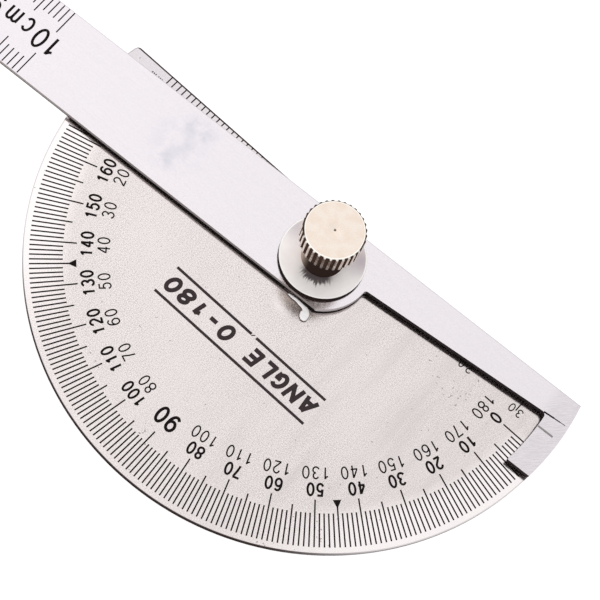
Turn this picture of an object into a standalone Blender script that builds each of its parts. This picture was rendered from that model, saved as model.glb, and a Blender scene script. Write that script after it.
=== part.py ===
"""Protractor: a half-round head plate with a ruler arm under a knurled thumb nut.

The arm turns over the plate about a threaded stud. Its tail ends in a curved
pointer that follows the degree ring, and its blade is a ten centimetre rule.
The nut presses a flat washer on the arm to hold an angle.

Units are metres. The origin is on the pivot axis, level with the underside of
the head plate. +Z runs up through the nut and the degree ring faces +Y.
"""

import math

import bmesh
import bpy
from mathutils import Matrix, Vector

MM = 0.001

# Stack along the pivot axis, from the underside of the head plate up.
PLATE_THICKNESS = 1.0 * MM
SHIM_THICKNESS = 0.4 * MM
ARM_THICKNESS = 1.0 * MM
WASHER_THICKNESS = 0.85 * MM
STACK_GAP = 0.05 * MM

SHIM_BOTTOM = PLATE_THICKNESS + STACK_GAP
ARM_BOTTOM = SHIM_BOTTOM + SHIM_THICKNESS + STACK_GAP
WASHER_BOTTOM = ARM_BOTTOM + ARM_THICKNESS + STACK_GAP
NUT_BOTTOM = WASHER_BOTTOM + WASHER_THICKNESS + STACK_GAP

# Head plate.
PLATE_RADIUS = 45.0 * MM
PLATE_EDGE_DROP = 6.83 * MM
PLATE_CORNER_RADIUS = 0.8 * MM

# Arm: blade towards +X, tail and pointer towards -X, before it is turned.
ARM_ANGLE = math.radians(3.8)
BLADE_HALF_WIDTH = 7.0 * MM
BLADE_TIP = 154.5 * MM
TIP_CORNER_RADIUS = 0.5 * MM
LOBE_RADIUS = 8.15 * MM
TAIL_EDGE_AT_LOBE = -0.25 * MM
TAIL_EDGE_AT_POINTER = -2.63 * MM
POINTER_INNER_RADIUS = 41.0 * MM
POINTER_OUTER_RADIUS = PLATE_RADIUS
LOBE_NOTCH_RADIUS = 0.5 * MM
POINTER_NOTCH_RADIUS = 0.7 * MM
POINTER_TOP_RADIUS = 0.2 * MM

# Friction shim with the tongue that shows beside the arm.
SHIM_RADIUS = 6.6 * MM
TONGUE_RIGHT = 0.5 * MM
TONGUE_BEND = -2.75 * MM
TONGUE_LEFT = -4.0 * MM
TONGUE_REACH = 7.66 * MM
TONGUE_TIP = 9.9 * MM
TONGUE_TIP_RADIUS = 0.6 * MM
TONGUE_BEND_RADIUS = 0.3 * MM

# Pivot stud, riveted into the plate with its head flush underneath.
STUD_RADIUS = 2.0 * MM
STUD_HEAD_RADIUS = 3.4 * MM
STUD_HEAD_THICKNESS = 0.5 * MM
STUD_TOP = 11.4 * MM
STUD_CHAMFER = 0.3 * MM
THREAD_PITCH = 0.7 * MM
THREAD_DEPTH = 0.22 * MM
THREAD_START = 4.2 * MM
THREAD_TURNS = 9
PRESS_CLEARANCE = 0.05 * MM
TURN_CLEARANCE = 0.1 * MM

# Flat washer.
WASHER_RADIUS = 6.8 * MM
WASHER_EDGE = 0.12 * MM

# Thumb nut.
NUT_HEIGHT = 10.95 * MM
NUT_NECK_RADIUS = 3.4 * MM
NUT_FACE_RADIUS = 4.6 * MM
NUT_HEAD_RADIUS = 4.85 * MM
NUT_HEAD_HEIGHT = 4.1 * MM
NUT_CHAMFER = 0.22 * MM
NUT_BORE_DEPTH = 8.6 * MM
NUT_BORE_CONE = 0.9 * MM
NUT_DIMPLE_RADIUS = 0.22 * MM
NUT_DIMPLE_DEPTH = 0.16 * MM
KNURL_COUNT = 32
KNURL_DEPTH = 0.28 * MM

# Fineness of round shapes.
EDGE_BREAK = 0.1 * MM
ARC_STEP = math.radians(2.0)
TURNED_STEPS = 96
STUD_STEPS = 40
SHARP_ANGLE = math.radians(35.0)
MERGE_DISTANCE = 0.001 * MM


def clear_scene():
    """Remove every object that the file opens with."""
    for existing in list(bpy.data.objects):
        bpy.data.objects.remove(existing, do_unlink=True)


def new_collection(name):
    """Make a collection in the scene."""
    collection = bpy.data.collections.new(name)
    bpy.context.scene.collection.children.link(collection)
    return collection


def make_material(name, colour, metallic, roughness):
    """Make a plain Principled material."""
    material = bpy.data.materials.new(name)
    material.use_nodes = True
    shader = material.node_tree.nodes["Principled BSDF"]
    shader.inputs["Base Color"].default_value = (*colour, 1.0)
    shader.inputs["Metallic"].default_value = metallic
    shader.inputs["Roughness"].default_value = roughness
    return material


def arc(radius, start, end, centre=(0.0, 0.0)):
    """Points on an arc about a centre, both ends included."""
    count = max(3, math.ceil(abs(end - start) / ARC_STEP))
    angles = [start + (end - start) * i / count for i in range(count + 1)]
    return [(centre[0] + radius * math.cos(a), centre[1] + radius * math.sin(a)) for a in angles]


def circle(radius):
    """Points all the way round the pivot, each only once."""
    return arc(radius, 0.0, math.tau)[:-1]


def left_of_circle(radius, height):
    """The point on a circle about the pivot at a height, on its -X side."""
    return (-math.sqrt(radius ** 2 - height ** 2), height)


def angle_of(point):
    """Angle of a point about the pivot, from 0 to a full turn."""
    return math.atan2(point[1], point[0]) % math.tau


def fillet(before, corner, after, radius, segments=6):
    """Points of a round corner between two straight runs."""
    apex = Vector(corner)
    to_before = (Vector(before) - apex).normalized()
    to_after = (Vector(after) - apex).normalized()
    half = to_before.angle(to_after) / 2.0
    bisector = (to_before + to_after).normalized()
    centre = apex + bisector * (radius / math.sin(half))
    first = apex + to_before * (radius / math.tan(half)) - centre
    last = apex + to_after * (radius / math.tan(half)) - centre
    sweep = first.angle_signed(last)
    points = []
    for i in range(segments + 1):
        turned = Matrix.Rotation(-sweep * i / segments, 2) @ first
        points.append(tuple(centre + turned))
    return points


def flat_piece(name, outlines, thickness, bottom, material, collection):
    """Fill closed outlines, holes included, and give them a thickness."""
    curve = bpy.data.curves.new(name + "_outline", "CURVE")
    curve.dimensions = "2D"
    curve.fill_mode = "BOTH"
    curve.extrude = thickness / 2.0
    for outline in outlines:
        spline = curve.splines.new("POLY")
        spline.points.add(len(outline) - 1)
        for point, (x, y) in zip(spline.points, outline):
            point.co = (x, y, 0.0, 1.0)
        spline.use_cyclic_u = True
    guide = bpy.data.objects.new(name + "_outline", curve)
    guide.location.z = bottom + thickness / 2.0
    bpy.context.scene.collection.objects.link(guide)
    bpy.context.view_layer.update()
    evaluated = guide.evaluated_get(bpy.context.evaluated_depsgraph_get())
    mesh = bpy.data.meshes.new_from_object(evaluated)
    mesh.name = name
    weld(mesh)
    piece = bpy.data.objects.new(name, mesh)
    piece.matrix_world = guide.matrix_world.copy()
    bpy.data.objects.remove(guide, do_unlink=True)
    collection.objects.link(piece)
    mesh.materials.clear()
    mesh.materials.append(material)
    return piece


def weld(mesh):
    """Join the caps of a filled curve to its sides."""
    shape = bmesh.new()
    shape.from_mesh(mesh)
    bmesh.ops.remove_doubles(shape, verts=shape.verts, dist=MERGE_DISTANCE)
    shape.to_mesh(mesh)
    shape.free()


def break_edges(piece, width):
    """Take the sharpness off the rims of a flat piece."""
    bevel = piece.modifiers.new("edge_break", "BEVEL")
    bevel.width = width
    bevel.segments = 2
    bevel.limit_method = "ANGLE"
    bevel.angle_limit = math.radians(60.0)


def turned_piece(name, profile, steps, material, collection, closed=False):
    """Turn a profile of (radius, height) points about the pivot axis."""
    mesh = bpy.data.meshes.new(name)
    edges = [(i, i + 1) for i in range(len(profile) - 1)]
    if closed:
        edges.append((len(profile) - 1, 0))
    mesh.from_pydata([(r, 0.0, z) for r, z in profile], edges, [])
    piece = bpy.data.objects.new(name, mesh)
    collection.objects.link(piece)
    screw = piece.modifiers.new("turn", "SCREW")
    screw.axis = "Z"
    screw.angle = math.tau
    screw.steps = steps
    screw.render_steps = steps
    screw.use_merge_vertices = True
    screw.merge_threshold = MERGE_DISTANCE
    screw.use_smooth_shade = False
    if material:
        mesh.materials.append(material)
    return piece


def hide_cutter(cutter):
    """Show a cutter as wires only."""
    cutter.hide_render = True
    cutter.display_type = "WIRE"


def cut(piece, cutter):
    """Take a cutter's shape out of a piece."""
    boolean = piece.modifiers.new(cutter.name, "BOOLEAN")
    boolean.operation = "DIFFERENCE"
    boolean.solver = "EXACT"
    boolean.object = cutter


def smooth_round_faces(piece):
    """Shade a turned piece smooth between its sharp edges."""
    evaluated = piece.evaluated_get(bpy.context.evaluated_depsgraph_get())
    mesh = bpy.data.meshes.new_from_object(evaluated)
    mesh.name = piece.name
    piece.modifiers.clear()
    piece.data = mesh
    mesh.shade_smooth()
    mesh.set_sharp_from_angle(angle=SHARP_ANGLE)


def build_head_plate(collection, cutters):
    """Half-round plate whose arc runs on down to a straight edge below the pivot."""
    steel = make_material("plate_steel", (0.60, 0.57, 0.56), 1.0, 0.42)
    rise = -PLATE_EDGE_DROP + PLATE_CORNER_RADIUS
    run = math.sqrt((PLATE_RADIUS - PLATE_CORNER_RADIUS) ** 2 - rise ** 2)
    turn = math.atan2(rise, run)
    outline = arc(PLATE_CORNER_RADIUS, -math.pi / 2, turn, (run, rise))[:-1]
    outline += arc(PLATE_RADIUS, turn, math.pi - turn)
    outline += arc(PLATE_CORNER_RADIUS, math.pi - turn, math.pi * 1.5, (-run, rise))[1:]
    plate = flat_piece("head_plate", [outline], PLATE_THICKNESS, 0.0, steel, collection)
    break_edges(plate, EDGE_BREAK)

    hole = STUD_RADIUS + PRESS_CLEARANCE
    recess = STUD_HEAD_RADIUS + PRESS_CLEARANCE
    recess_top = STUD_HEAD_THICKNESS + PRESS_CLEARANCE
    below = -PLATE_THICKNESS
    profile = [(0.0, 2 * PLATE_THICKNESS), (hole, 2 * PLATE_THICKNESS), (hole, recess_top)]
    profile += [(recess, recess_top), (recess, below), (0.0, below)]
    seat = turned_piece("stud_seat_cutter", profile, TURNED_STEPS, None, cutters)
    hide_cutter(seat)
    cut(plate, seat)
    return plate


def build_pivot_stud(collection):
    """Threaded stud with a flush head."""
    steel = make_material("stud_steel", (0.55, 0.54, 0.53), 1.0, 0.35)
    root = STUD_RADIUS - THREAD_DEPTH
    profile = [(0.0, STUD_TOP), (STUD_RADIUS - STUD_CHAMFER, STUD_TOP)]
    ridges = []
    for turn in range(THREAD_TURNS):
        base = THREAD_START + THREAD_PITCH * turn
        ridges += [(STUD_RADIUS, base), (root, base + THREAD_PITCH / 2)]
    profile += reversed(ridges)
    profile += [(STUD_RADIUS, STUD_HEAD_THICKNESS), (STUD_HEAD_RADIUS, STUD_HEAD_THICKNESS)]
    profile += [(STUD_HEAD_RADIUS, 0.0), (0.0, 0.0)]
    stud = turned_piece("pivot_stud", profile, STUD_STEPS, steel, collection)
    smooth_round_faces(stud)
    return stud


def build_friction_shim(collection, pivot):
    """Thin white disc under the arm, with a bent tongue beside the blade."""
    nylon = make_material("shim_nylon", (0.86, 0.86, 0.85), 0.0, 0.45)
    left_root = (TONGUE_LEFT, math.sqrt(SHIM_RADIUS ** 2 - TONGUE_LEFT ** 2))
    right_root = (TONGUE_RIGHT, math.sqrt(SHIM_RADIUS ** 2 - TONGUE_RIGHT ** 2))
    bend = (TONGUE_BEND, TONGUE_REACH)
    tip_right = (TONGUE_BEND, TONGUE_TIP)
    tip_left = (TONGUE_LEFT, TONGUE_TIP)
    shoulder = (TONGUE_RIGHT, TONGUE_REACH)
    outline = arc(SHIM_RADIUS, angle_of(left_root), angle_of(right_root) + math.tau)
    outline += [shoulder]
    outline += fillet(shoulder, bend, tip_right, TONGUE_BEND_RADIUS)
    outline += fillet(bend, tip_right, tip_left, TONGUE_TIP_RADIUS)
    outline += fillet(tip_right, tip_left, left_root, TONGUE_TIP_RADIUS)
    hole = circle(STUD_RADIUS + TURN_CLEARANCE)
    shim = flat_piece("friction_shim", [outline, hole], SHIM_THICKNESS, SHIM_BOTTOM, nylon, collection)
    shim.parent = pivot
    return shim


def arm_outline():
    """Outline of the arm, counter-clockwise from the pointer's lower corner."""
    half = BLADE_HALF_WIDTH
    lower_left = left_of_circle(POINTER_OUTER_RADIUS, -half)
    tip_low = (BLADE_TIP, -half)
    tip_high = (BLADE_TIP, half)
    lobe_top = left_of_circle(LOBE_RADIUS, half)
    lobe_foot = left_of_circle(LOBE_RADIUS, TAIL_EDGE_AT_LOBE)
    notch = left_of_circle(POINTER_INNER_RADIUS, TAIL_EDGE_AT_POINTER)
    inner_top = left_of_circle(POINTER_INNER_RADIUS, half)
    outer_top = left_of_circle(POINTER_OUTER_RADIUS, half)

    lobe = arc(LOBE_RADIUS, angle_of(lobe_top), angle_of(lobe_foot))[:-2]
    inner = arc(POINTER_INNER_RADIUS, angle_of(notch), angle_of(inner_top))[1:-1]
    outer = arc(POINTER_OUTER_RADIUS, angle_of(outer_top), angle_of(lower_left))[1:]

    outline = fillet(lower_left, tip_low, tip_high, TIP_CORNER_RADIUS)
    outline += fillet(tip_low, tip_high, lobe_top, TIP_CORNER_RADIUS)
    outline += lobe
    outline += fillet(lobe[-1], lobe_foot, notch, LOBE_NOTCH_RADIUS)
    outline += fillet(lobe_foot, notch, inner[0], POINTER_NOTCH_RADIUS)
    outline += inner
    outline += fillet(inner[-1], inner_top, outer_top, POINTER_TOP_RADIUS)
    outline += fillet(inner_top, outer_top, outer[0], POINTER_TOP_RADIUS)
    outline += outer
    return outline


def build_arm_blade(collection, pivot):
    """Ruler blade, pivot lobe, slim tail and curved pointer, cut from one strip."""
    steel = make_material("arm_steel", (0.80, 0.79, 0.80), 1.0, 0.30)
    hole = circle(STUD_RADIUS + TURN_CLEARANCE)
    arm = flat_piece("arm_blade", [arm_outline(), hole], ARM_THICKNESS, ARM_BOTTOM, steel, collection)
    break_edges(arm, EDGE_BREAK)
    arm.parent = pivot
    return arm


def build_flat_washer(collection):
    """Flat washer with softened rims."""
    plated = make_material("washer_plating", (0.74, 0.72, 0.70), 1.0, 0.22)
    top = WASHER_BOTTOM + WASHER_THICKNESS
    inner = STUD_RADIUS + TURN_CLEARANCE
    profile = [(inner, top), (WASHER_RADIUS - WASHER_EDGE, top), (WASHER_RADIUS, top - WASHER_EDGE)]
    profile += [(WASHER_RADIUS, WASHER_BOTTOM + WASHER_EDGE)]
    profile += [(WASHER_RADIUS - WASHER_EDGE, WASHER_BOTTOM), (inner, WASHER_BOTTOM)]
    washer = turned_piece("flat_washer", profile, TURNED_STEPS, plated, collection, closed=True)
    smooth_round_faces(washer)
    return washer


def build_knurl_cutters(cutters, top, bottom):
    """One diamond bar for each groove of the knurl, as a single cutter."""
    shape = bmesh.new()
    side = KNURL_DEPTH * math.sqrt(2.0)
    height = top - bottom
    for groove in range(KNURL_COUNT):
        place = Matrix.Rotation(math.tau * groove / KNURL_COUNT, 4, "Z")
        place @= Matrix.Translation((NUT_HEAD_RADIUS, 0.0, (top + bottom) / 2.0))
        place @= Matrix.Rotation(math.pi / 4.0, 4, "Z")
        place @= Matrix.Diagonal((side, side, height, 1.0))
        bmesh.ops.create_cube(shape, size=1.0, matrix=place)
    mesh = bpy.data.meshes.new("knurl_cutter")
    shape.to_mesh(mesh)
    shape.free()
    cutter = bpy.data.objects.new("knurl_cutter", mesh)
    cutters.objects.link(cutter)
    hide_cutter(cutter)
    return cutter


def build_clamp_knob(collection, cutters):
    """Thumb nut: plain neck, straight-knurled head, blind threaded bore."""
    plated = make_material("knob_plating", (0.86, 0.80, 0.72), 1.0, 0.28)
    top = NUT_BOTTOM + NUT_HEIGHT
    head_bottom = top - NUT_HEAD_HEIGHT
    bore = STUD_RADIUS + TURN_CLEARANCE
    bore_top = NUT_BOTTOM + NUT_BORE_DEPTH
    profile = [(0.0, top - NUT_DIMPLE_DEPTH), (NUT_DIMPLE_RADIUS, top)]
    profile += [(NUT_FACE_RADIUS, top), (NUT_HEAD_RADIUS, top - NUT_CHAMFER)]
    profile += [(NUT_HEAD_RADIUS, head_bottom + NUT_CHAMFER)]
    profile += [(NUT_HEAD_RADIUS - NUT_CHAMFER, head_bottom), (NUT_NECK_RADIUS, head_bottom)]
    profile += [(NUT_NECK_RADIUS, NUT_BOTTOM + NUT_CHAMFER)]
    profile += [(NUT_NECK_RADIUS - NUT_CHAMFER, NUT_BOTTOM), (bore, NUT_BOTTOM)]
    profile += [(bore, bore_top), (0.0, bore_top + NUT_BORE_CONE)]
    knob = turned_piece("clamp_knob", profile, TURNED_STEPS, plated, collection)
    cut(knob, build_knurl_cutters(cutters, top + NUT_CHAMFER, head_bottom - NUT_CHAMFER))
    bpy.context.view_layer.update()
    smooth_round_faces(knob)
    return knob


def main():
    """Build the protractor with its arm at the rest angle."""
    clear_scene()
    collection = new_collection("protractor")
    cutters = new_collection("cutters")

    pivot = bpy.data.objects.new("arm_pivot", None)
    pivot.rotation_euler.z = ARM_ANGLE
    collection.objects.link(pivot)

    build_head_plate(collection, cutters)
    build_pivot_stud(collection)
    build_friction_shim(collection, pivot)
    build_arm_blade(collection, pivot)
    build_flat_washer(collection)
    build_clamp_knob(collection, cutters)
    bpy.context.view_layer.update()


main()
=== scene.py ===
"""Looks of the protractor: marks, plated hardware, steel finishes, floor, light and camera."""

import math

import bmesh
import bpy
from mathutils import Matrix, Vector


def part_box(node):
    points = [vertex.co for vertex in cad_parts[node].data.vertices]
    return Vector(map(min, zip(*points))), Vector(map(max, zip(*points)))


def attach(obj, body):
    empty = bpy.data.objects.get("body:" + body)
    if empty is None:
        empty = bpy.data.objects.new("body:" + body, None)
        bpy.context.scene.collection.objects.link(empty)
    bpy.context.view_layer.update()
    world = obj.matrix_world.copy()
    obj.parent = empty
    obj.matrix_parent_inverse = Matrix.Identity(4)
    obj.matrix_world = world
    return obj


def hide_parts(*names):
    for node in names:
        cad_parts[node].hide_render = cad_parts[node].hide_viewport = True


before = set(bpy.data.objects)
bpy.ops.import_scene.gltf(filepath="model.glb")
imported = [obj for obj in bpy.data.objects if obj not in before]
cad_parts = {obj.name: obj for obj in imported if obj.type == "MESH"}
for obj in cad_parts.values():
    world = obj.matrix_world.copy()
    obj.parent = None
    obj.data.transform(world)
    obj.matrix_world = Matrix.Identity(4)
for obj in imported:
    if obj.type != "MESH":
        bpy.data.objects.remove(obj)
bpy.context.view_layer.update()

MM = 0.001

# Places taken from the frame.
PLATE_LOW, PLATE_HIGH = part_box("head_plate")
_, ARM_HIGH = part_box("arm_blade")
SHIM_LOW, SHIM_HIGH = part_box("friction_shim")
WASHER_LOW, WASHER_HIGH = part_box("flat_washer")
KNOB_LOW, KNOB_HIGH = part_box("clamp_knob")
PLATE_TOP = PLATE_HIGH.z
PLATE_EDGE = PLATE_LOW.y
ARM_TOP = ARM_HIGH.z

# The arm's own directions at rest: along the blade, and across it.
ARM_ANGLE = math.radians(3.8)
ALONG = Vector((math.cos(ARM_ANGLE), math.sin(ARM_ANGLE)))
ACROSS = Vector((-math.sin(ARM_ANGLE), math.cos(ARM_ANGLE)))
HALF_BLADE = 7.0 * MM
BLADE_TIP = (ARM_HIGH.x - HALF_BLADE * math.sin(ARM_ANGLE)) / math.cos(ARM_ANGLE)

# Radius of the hole through the washer, the shim and the nut.
BORE = 2.1 * MM


# ---------------------------------------------------------------------------
# Materials: places and distances in them are in millimetres
# ---------------------------------------------------------------------------

# Upward part of a face's normal: up to the first it is a wall, from the second on it is level.
WALL_RISE = 0.35
LEVEL_RISE = 0.8

# Roughness of a sheared wall.
SHEARED_ROUGHNESS = 0.6

# Painted shade: the near-black given to walls in shade, and the dark line painted round the plate's edges
# in place of their bevels' dark reflection.
PAINTED_WALL_SHADE = (0.030, 0.018, 0.016)
PAINTED_EDGE_SHADE = (0.055, 0.040, 0.042)


class Finish:
    """A node material under construction, with coordinates in millimetres."""

    def __init__(self, name):
        self.material = bpy.data.materials.new(name)
        self.material.use_nodes = True
        self.nodes = self.material.node_tree.nodes
        self.links = self.material.node_tree.links
        self.shader = self.nodes["Principled BSDF"]
        place = self.nodes.new("ShaderNodeTexCoord")
        scaled = self.nodes.new("ShaderNodeVectorMath")
        scaled.operation = "SCALE"
        scaled.inputs["Scale"].default_value = 1.0 / MM
        self.links.new(place.outputs["Object"], scaled.inputs[0])
        self.position = scaled.outputs["Vector"]
        self.normal = place.outputs["Normal"]

    def set(self, **values):
        """Set constants on the shader's own sockets."""
        for name, value in values.items():
            self.shader.inputs[name.replace("_", " ")].default_value = value

    def drive(self, name, output):
        """Feed a socket of the shader."""
        self.links.new(output, self.shader.inputs[name])

    def fill(self, sockets, values):
        """Give each socket its value: a number, a colour or another node's output."""
        for socket, value in zip(sockets, values):
            if isinstance(value, (int, float)):
                socket.default_value = value
            elif isinstance(value, tuple):
                socket.default_value = (*value, 1.0)
            else:
                self.links.new(value, socket)

    def stretch(self, factors, source=None):
        """Coordinates multiplied axis by axis."""
        node = self.nodes.new("ShaderNodeVectorMath")
        node.operation = "MULTIPLY"
        node.inputs[1].default_value = factors
        self.links.new(source or self.position, node.inputs[0])
        return node.outputs["Vector"]

    def turned(self, degrees):
        """Coordinates turned about the pivot axis."""
        node = self.nodes.new("ShaderNodeVectorRotate")
        node.rotation_type = "Z_AXIS"
        node.inputs["Angle"].default_value = math.radians(degrees)
        self.links.new(self.position, node.inputs["Vector"])
        return node.outputs["Vector"]

    def parts(self, source=None):
        """The three numbers of a vector."""
        node = self.nodes.new("ShaderNodeSeparateXYZ")
        self.links.new(source or self.position, node.inputs[0])
        return node.outputs[0], node.outputs[1], node.outputs[2]

    def noise(self, scale, detail, source=None, roughness=0.5):
        """Noise from 0 to 1 around 0.5."""
        node = self.nodes.new("ShaderNodeTexNoise")
        node.inputs["Scale"].default_value = scale
        node.inputs["Detail"].default_value = detail
        node.inputs["Roughness"].default_value = roughness
        self.links.new(source or self.position, node.inputs["Vector"])
        return node.outputs["Fac"]

    def reckon(self, operation, first, second=0.0, clamp=False):
        """One step of arithmetic on numbers or outputs."""
        node = self.nodes.new("ShaderNodeMath")
        node.operation = operation
        node.use_clamp = clamp
        self.fill(node.inputs, (first, second))
        return node.outputs["Value"]

    def times(self, first, second, clamp=False):
        """One value times another."""
        return self.reckon("MULTIPLY", first, second, clamp)

    def plus(self, first, second):
        """One value plus another."""
        return self.reckon("ADD", first, second)

    def minus(self, first, second):
        """One value less another."""
        return self.reckon("SUBTRACT", first, second)

    def most(self, first, second):
        """The greater of two values."""
        return self.reckon("MAXIMUM", first, second)

    def size(self, value):
        """A value without its sign."""
        return self.reckon("ABSOLUTE", value)

    def length(self, first, second):
        """Length of a vector with these two parts."""
        return self.reckon("SQRT", self.plus(self.times(first, first), self.times(second, second)))

    def span(self, value, low, high, to_low=0.0, to_high=1.0):
        """Map one range smoothly onto another, clamped."""
        node = self.nodes.new("ShaderNodeMapRange")
        node.interpolation_type = "SMOOTHSTEP"
        node.inputs["From Min"].default_value = low
        node.inputs["From Max"].default_value = high
        node.inputs["To Min"].default_value = to_low
        node.inputs["To Max"].default_value = to_high
        self.links.new(value, node.inputs["Value"])
        return node.outputs["Result"]

    def mix(self, factor, first, second):
        """Blend two colours."""
        node = self.nodes.new("ShaderNodeMix")
        node.data_type = "RGBA"
        self.fill((node.inputs[0], node.inputs[6], node.inputs[7]), (factor, first, second))
        return node.outputs[2]

    def mix_number(self, factor, first, second):
        """Blend two numbers."""
        node = self.nodes.new("ShaderNodeMix")
        self.fill((node.inputs[0], node.inputs[2], node.inputs[3]), (factor, first, second))
        return node.outputs[0]

    def radius(self):
        """Distance from the pivot axis."""
        x, y, _ = self.parts()
        return self.length(x, y)

    def near(self, x, y, reach):
        """One at a place on the steel, falling to nothing at a distance."""
        node = self.nodes.new("ShaderNodeVectorMath")
        node.operation = "DISTANCE"
        node.inputs[1].default_value = (x, y, 0.0)
        flat = self.stretch((1.0, 1.0, 0.0))
        self.links.new(flat, node.inputs[0])
        return self.span(node.outputs["Value"], 0.0, reach, 1.0, 0.0)

    def patches(self, places):
        """One at any of the places, falling to nothing at the reach of each."""
        cover = self.near(*places[0])
        for place in places[1:]:
            cover = self.most(cover, self.near(*place))
        return cover

    def turning(self, radius, rate):
        """Fine rings left by the lathe, at a rate in radians per millimetre."""
        return self.reckon("SINE", self.times(radius, rate))

    def bump(self, height, strength, distance):
        """Feed the shader's normal with a bump."""
        node = self.nodes.new("ShaderNodeBump")
        node.inputs["Strength"].default_value = strength
        node.inputs["Distance"].default_value = distance
        self.links.new(height, node.inputs["Height"])
        self.drive("Normal", node.outputs["Normal"])

    def rise(self):
        """Upward part of the face's normal."""
        return self.parts(self.normal)[2]

    def upward(self):
        """One on level faces, none on upright ones."""
        return self.span(self.size(self.rise()), WALL_RISE, LEVEL_RISE)

    def sheet(self, tone, wall, roughness):
        """Bare metal on the level faces and a rough cut on the walls, whose given colour carries their
        painted shade.
        """
        level = self.upward()
        self.drive("Base Color", self.mix(level, wall, tone))
        self.drive("Metallic", level)
        self.drive("Roughness", self.mix_number(level, SHEARED_ROUGHNESS, roughness))
        self.set(Specular_IOR_Level=0.0)


# The plate's colours.
PLATE_DARK_GRAIN = (0.480, 0.435, 0.425)
PLATE_LIGHT_GRAIN = (0.935, 0.870, 0.860)
PLATE_BRUSHED = (0.800, 0.740, 0.735)
PLATE_STREAK = (0.600, 0.545, 0.540)
PLATE_CLOUD = (0.820, 0.770, 0.770)
PLATE_SHADE = (0.40, 0.36, 0.36)
PLATE_COOL = (0.640, 0.610, 0.670)
PLATE_PAINTED_LIGHT = (0.960, 0.900, 0.890)
PLATE_RING = (0.980, 0.930, 0.930)
PLATE_PIT = (0.16, 0.12, 0.11)
PLATE_WALL = (0.300, 0.275, 0.280)

# Where a painted highlight brightens the plate, and where it is pitted: place and reach.
PAINTED_LIGHT_PATCH = (-0.6, 8.6, 3.0)
PIT_PATCHES = (
    (-28.6, 0.5, 5.5),
    (-22.4, -0.8, 3.2),
    (-25.2, 25.0, 3.5),
    (-27.5, 31.5, 5.0),
    (-23.3, 33.0, 3.0),
    (-22.3, 38.2, 3.0),
    (0.7, 38.0, 3.0),
)

# The plate's rim and straight edge are counted from here outwards.
RIM_START = 44.2
EDGE_START = -6.03


def plate_steel():
    """Matte, finely brushed steel with a warm grey tone, streaks, pits, a painted highlight by the shim's
    tongue, and painted shade on its edges and walls.
    """
    finish = Finish("plate_steel_brushed")
    x, y, _ = finish.parts()
    radius = finish.radius()
    grain = finish.noise(6.0, 2.0, roughness=0.6)
    brushing = finish.noise(1.0, 2.0, finish.stretch((6.0, 0.5, 1.0)))
    tone = finish.mix(finish.span(grain, 0.30, 0.70), PLATE_DARK_GRAIN, PLATE_LIGHT_GRAIN)
    tone = finish.mix(finish.span(brushing, 0.35, 0.65, 0.0, 0.45), tone, PLATE_BRUSHED)

    # Long grey streaks, stronger on the pointer's side, then a wide cloud and a slight fall of tone.
    streaks = finish.noise(1.0, 5.0, finish.stretch((0.30, 0.04, 1.0)), roughness=0.65)
    streaks = finish.times(finish.span(streaks, 0.42, 0.70), finish.span(x, 5.0, -22.0, 0.12, 0.5))
    tone = finish.mix(streaks, tone, PLATE_STREAK)
    cloud = finish.noise(0.05, 2.0)
    tone = finish.mix(finish.span(cloud, 0.35, 0.70, 0.0, 0.25), tone, PLATE_CLOUD)
    tone = finish.mix(finish.span(x, -45.0, 40.0, 0.08, 0.0), tone, PLATE_SHADE)

    # A cooler strip beyond the blade's far edge, and a painted highlight beside the shim's tongue that
    # lightens the dark reflection there.
    cool = finish.times(finish.span(y, -1.0, -4.0), finish.span(x, 15.0, 35.0, 0.0, 0.5))
    tone = finish.mix(cool, tone, PLATE_COOL)
    painted_light = finish.times(finish.near(*PAINTED_LIGHT_PATCH), 0.8)
    tone = finish.mix(painted_light, tone, PLATE_PAINTED_LIGHT)

    # The degree ring is brighter, most of all towards its two ends.
    ends = finish.span(finish.size(x), 18.0, 36.0, 0.15, 0.75)
    ring = finish.times(finish.span(radius, 37.5, 40.5), finish.span(y, -2.0, 2.0))
    tone = finish.mix(finish.times(ends, ring), tone, PLATE_RING)

    # Small dark pits, few on the whole plate and many in the patches.
    crowding = finish.times(finish.patches(PIT_PATCHES), 0.13)
    pits = finish.span(finish.plus(finish.noise(2.6, 0.0), crowding), 0.855, 0.89, 0.0, 0.65)
    tone = finish.mix(pits, tone, PLATE_PIT)

    # Painted shade: a dark line along the straight edge and the rim in place of their bevels' dark
    # reflection, strongest on the rim towards +Y, and near-black walls towards +Y and along the straight
    # edge.
    tone = finish.mix(finish.span(y, -6.52, -6.62), tone, PAINTED_EDGE_SHADE)
    past_rim = finish.most(finish.minus(radius, RIM_START), 0.0)
    past_edge = finish.most(finish.minus(EDGE_START, y), 0.0)
    edge_shade = finish.span(finish.length(past_rim, past_edge), 0.58, 0.68)
    edge_shade = finish.times(edge_shade, finish.span(y, 26.0, 38.0, 0.30, 1.0))
    tone = finish.mix(edge_shade, tone, PAINTED_EDGE_SHADE)
    wall = finish.mix(finish.span(y, 29.0, 40.0), PLATE_WALL, PAINTED_WALL_SHADE)
    wall = finish.mix(finish.span(y, 0.0, -3.0), wall, PAINTED_WALL_SHADE)
    finish.sheet(tone, wall, finish.span(grain, 0.25, 0.75, 0.10, 0.17))
    finish.bump(finish.plus(grain, brushing), 0.2, 0.02 * MM)
    return finish.material


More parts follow.
